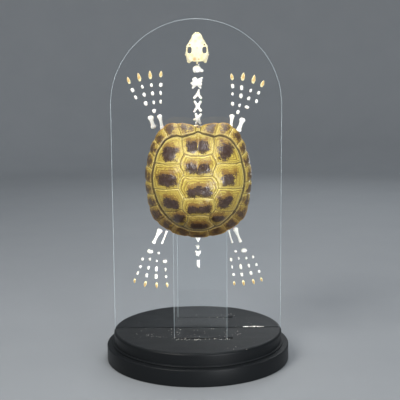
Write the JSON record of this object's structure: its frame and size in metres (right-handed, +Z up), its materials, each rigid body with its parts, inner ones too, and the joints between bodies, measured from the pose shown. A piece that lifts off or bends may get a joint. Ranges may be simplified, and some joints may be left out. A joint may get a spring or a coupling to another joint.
{
  "type": "tortoise skeleton",
  "caption": "Tortoise skeleton taken apart and fixed flat on upright clear panels, its domed shell on a strip in front, on a round two-step black base.",
  "frame": {"origin": "middle of the base's flat underside", "axes": "+Z up, the animal's head up; the animal's back, with the carapace, towards -Y; the animal's right side towards +X"},
  "size_m": [0.2, 0.2, 0.3693],
  "materials": {
    "black_paint": "semi-gloss black paint, some dust",
    "clear_acrylic": "clear polished sheet",
    "shell_horn": "horn scutes, olive yellow with dark brown blotches and growth rings, satin",
    "plastron_horn": "horn scutes, yellow brown with dark patches, satin",
    "skull_bone": "ivory bone, matt",
    "bone": "bleached bone, matt",
    "claw_horn": "tan horn, satin, paler at the root"
  },
  "bodies": {
    "root": {"lower_disc": "black_paint", "upper_disc": "black_paint", "skeleton_panel": "clear_acrylic", "shell_strip": "clear_acrylic", "plastron_strip": "clear_acrylic", "carapace": "shell_horn", "plastron": "plastron_horn", "skull": "skull_bone", "lower_jaw": "skull_bone", "neck_vertebra_1": "bone", "neck_vertebra_2": "bone", "neck_vertebra_3": "bone", "neck_vertebra_4": "bone", "neck_vertebra_5": "bone", "neck_vertebra_6": "bone", "neck_vertebra_7": "bone", "neck_vertebra_8": "bone", "tail_vertebra_1": "bone", "tail_vertebra_2": "bone", "tail_vertebra_3": "bone", "tail_vertebra_4": "bone", "left_ulna": "bone", "left_radius": "bone", "left_humerus": "bone", "left_tibia": "bone", "left_fibula": "bone", "left_femur": "bone", "left_shoulder_girdle": "bone", "right_ulna": "bone", "right_radius": "bone", "right_humerus": "bone", "right_tibia": "bone", "right_fibula": "bone", "right_femur": "bone", "right_shoulder_girdle": "bone", "pelvis": "bone", "left_hand_claw_1": "claw_horn", "left_hand_claw_2": "claw_horn", "left_hand_claw_3": "claw_horn", "left_hand_claw_4": "claw_horn", "left_foot_claw_1": "claw_horn", "left_foot_claw_2": "claw_horn", "left_foot_claw_3": "claw_horn", "left_foot_claw_4": "claw_horn", "right_hand_claw_1": "claw_horn", "right_hand_claw_2": "claw_horn", "right_hand_claw_3": "claw_horn", "right_hand_claw_4": "claw_horn", "right_foot_claw_1": "claw_horn", "right_foot_claw_2": "claw_horn", "right_foot_claw_3": "claw_horn", "right_foot_claw_4": "claw_horn", "left_wrist_bone_1": "bone", "left_wrist_bone_2": "bone", "left_ankle_bone_1": "bone", "left_ankle_bone_2": "bone", "right_wrist_bone_1": "bone", "right_wrist_bone_2": "bone", "right_ankle_bone_1": "bone", "right_ankle_bone_2": "bone"}
  },
  "joints": []
}
